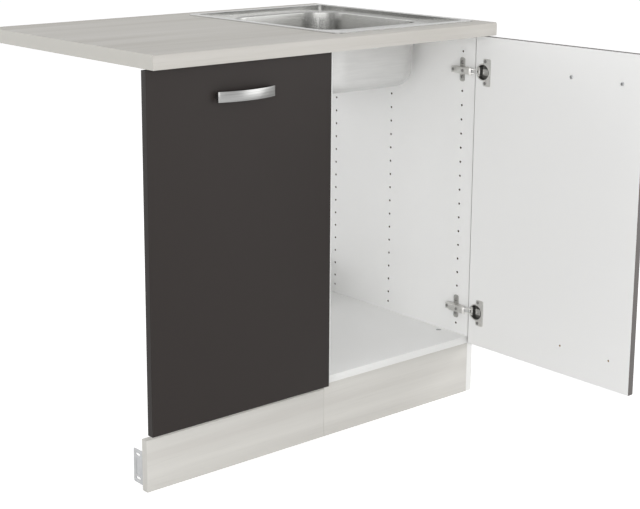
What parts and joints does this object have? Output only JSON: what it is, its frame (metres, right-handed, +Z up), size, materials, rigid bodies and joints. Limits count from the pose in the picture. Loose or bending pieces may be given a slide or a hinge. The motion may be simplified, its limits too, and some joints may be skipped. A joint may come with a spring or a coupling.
{
  "type": "kitchen sink unit",
  "caption": "Kitchen sink unit: cabinet with cup-hinged door, inset sink, and a worktop that bridges a dishwasher bay with its own front and plinth.",
  "frame": {"origin": "on the floor under the middle of the sink cabinet's width and of its plinth board's thickness", "axes": "+X to the right along the worktop, +Y from the front to the wall, +Z up; the door stands open towards -Y"},
  "size_m": [0.921, 1.0055, 0.85],
  "materials": {
    "worktop_laminate": "satin laminate",
    "worktop_edge": "satin edge strip",
    "plinth_laminate": "satin laminate",
    "white_board": "satin melamine",
    "dark_front": "matt dark front, white inside",
    "stainless": "satin stainless sheet",
    "handle_steel": "brushed",
    "hinge_nickel": "nickel plated",
    "screw_zinc": "zinc plated",
    "bracket_steel": "galvanised sheet",
    "seal_rubber": "matt",
    "waste_plastic": "matt",
    "dowel_wood": "plain beech"
  },
  "bodies": {
    "cabinet": {"arm_pins": "hinge_nickel", "bay_plinth": "plinth_laminate", "bottom_panel": "white_board", "bracket_screws": "screw_zinc", "cabinet_plinth": "plinth_laminate", "cam_bolts": "screw_zinc", "cam_fittings": "screw_zinc", "dowels": "dowel_wood", "drain_body": "waste_plastic", "drain_flange": "stainless", "drain_screw": "stainless", "drain_seal": "seal_rubber", "hinge_arm_screws": "screw_zinc", "hinge_plate_screws": "screw_zinc", "lower_hinge_arm": "hinge_nickel", "lower_hinge_plate": "hinge_nickel", "plinth_bracket_left": "bracket_steel", "plinth_bracket_right": "bracket_steel", "rear_rail_bottom": "white_board", "rear_rail_top": "white_board", "side_left": "white_board", "side_right": "white_board", "sink_bowl": "stainless", "sink_clip_screws": "screw_zinc", "sink_clips": "bracket_steel", "sink_seal": "seal_rubber", "upper_hinge_arm": "hinge_nickel", "upper_hinge_plate": "hinge_nickel", "worktop": "worktop_laminate", "worktop_brackets": "bracket_steel", "worktop_end_strips": "worktop_edge"},
    "hinge_links": {"upper_hinge_link": "hinge_nickel", "lower_hinge_link": "hinge_nickel"},
    "door": {"door": "dark_front", "upper_hinge_cup": "hinge_nickel", "lower_hinge_cup": "hinge_nickel", "cup_pins": "hinge_nickel", "hinge_cup_screws": "screw_zinc", "door_handle": "handle_steel", "door_handle_screws": "screw_zinc"},
    "bay_front": {"bay_panel": "dark_front", "bay_handle": "handle_steel", "bay_handle_screws": "screw_zinc"}
  },
  "joints": [
    {"name": "link_swing", "type": "hinge", "parent": "cabinet", "child": "hinge_links", "pos_m": [0.196, -0.005, 0.467], "axis": [0, 0, 1], "range_deg": [-2, 31.5]},
    {"name": "door_swing", "type": "hinge", "parent": "hinge_links", "child": "door", "pos_m": [0.20808, -0.02059, 0.467], "axis": [0, 0, 1], "range_deg": [-121.2, 6.7]},
    {"name": "bay_front_drop", "type": "hinge", "parent": "cabinet", "child": "bay_front", "pos_m": [-0.45, -0.0025, 0.15], "axis": [1, 0, 0], "range_deg": [0, 90]}
  ],
  "couplings": [
    {"joint": "link_swing", "follows": "door_swing", "ratio": -0.2574}
  ]
}
